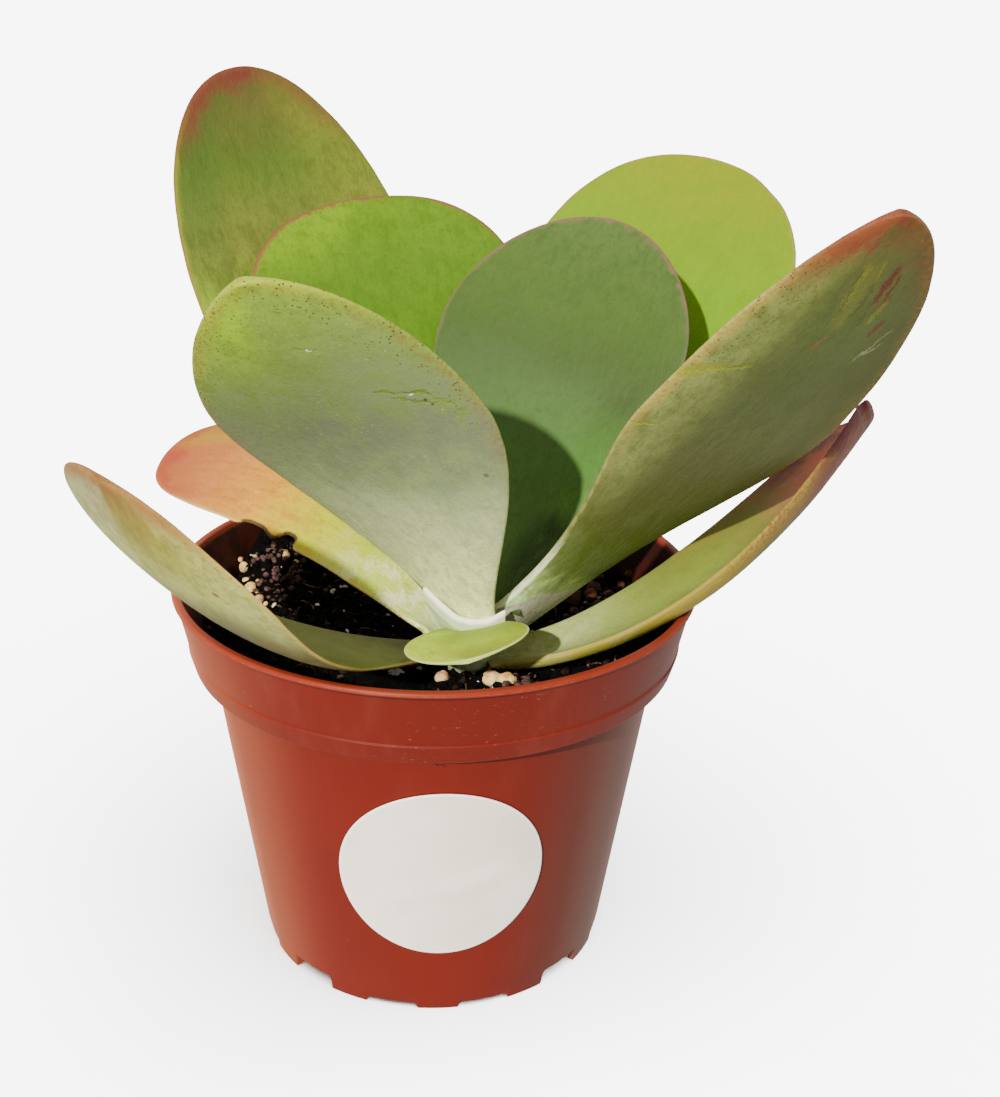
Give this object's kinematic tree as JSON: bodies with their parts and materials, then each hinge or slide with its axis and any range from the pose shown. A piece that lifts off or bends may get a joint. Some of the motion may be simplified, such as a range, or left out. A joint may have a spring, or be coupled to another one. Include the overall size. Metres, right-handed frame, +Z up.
{
  "type": "potted paddle plant",
  "caption": "Young succulent with broad rounded paddle leaves in a tapered round plastic nursery pot filled with dark peat and a few stones, with a blank round sticker on the front.",
  "frame": {"origin": "under the middle of the whole plant's plan outline, on the plane that the pot's feet stand on", "axes": "+Z straight up along the pot's axis, -Y towards the front with the sticker"},
  "size_m": [0.1464, 0.131, 0.1626],
  "materials": {
    "pot": "satin terracotta-coloured plastic with faint scuffs and dust",
    "label": "matt white film, blank, slightly wrinkled",
    "soil": "moist dark peat with short fibres and pale grains",
    "stem": "fleshy, pale green with a whitish bloom",
    "leaf_back_left_tall": "fleshy leaf, green with a red tip band and a yellow left margin",
    "leaf_back_left_broad": "fleshy leaf, fresh green with a thin pink-brown margin",
    "leaf_front_left": "fleshy leaf, grey-green with a silvery bloom and a yellow-orange margin",
    "leaf_centre": "fleshy leaf, grey-green with a mauve margin",
    "leaf_right_long": "fleshy leaf, olive green with a red tip and a yellow margin",
    "leaf_back_right": "fleshy leaf, bright lime green with a thin pink margin",
    "leaf_left_low": "fleshy leaf, salmon orange fading to yellow-green at its base",
    "leaf_left_lowest": "fleshy leaf, yellow-green above a pale band",
    "leaf_right_lowest": "fleshy leaf, green turning salmon red, with a rusty margin",
    "leaf_front_small": "fleshy leaf, light yellow-green with a pale margin",
    "stone_pale": "rough porous mineral, cream",
    "stone_white": "rough mineral, off-white",
    "stone_tan": "rough mineral, tan",
    "stone_brown": "rough mineral, reddish brown"
  },
  "bodies": {
    "root": {"pot": "pot", "label": "label", "soil": "soil", "stem": "stem", "leaf_back_left_tall": "leaf_back_left_tall", "leaf_back_left_broad": "leaf_back_left_broad", "leaf_front_left": "leaf_front_left", "leaf_centre": "leaf_centre", "leaf_right_long": "leaf_right_long", "leaf_back_right": "leaf_back_right", "leaf_left_low": "leaf_left_low", "leaf_left_lowest": "leaf_left_lowest", "leaf_right_lowest": "leaf_right_lowest", "leaf_front_small": "leaf_front_small", "stone_cream": "stone_pale", "stone_white": "stone_white", "stone_tan": "stone_tan", "stone_left_upper": "stone_pale", "stone_left_middle": "stone_pale", "stone_left_lower": "stone_tan", "stone_right_near": "stone_brown", "stone_right_far": "stone_brown"}
  },
  "joints": []
}
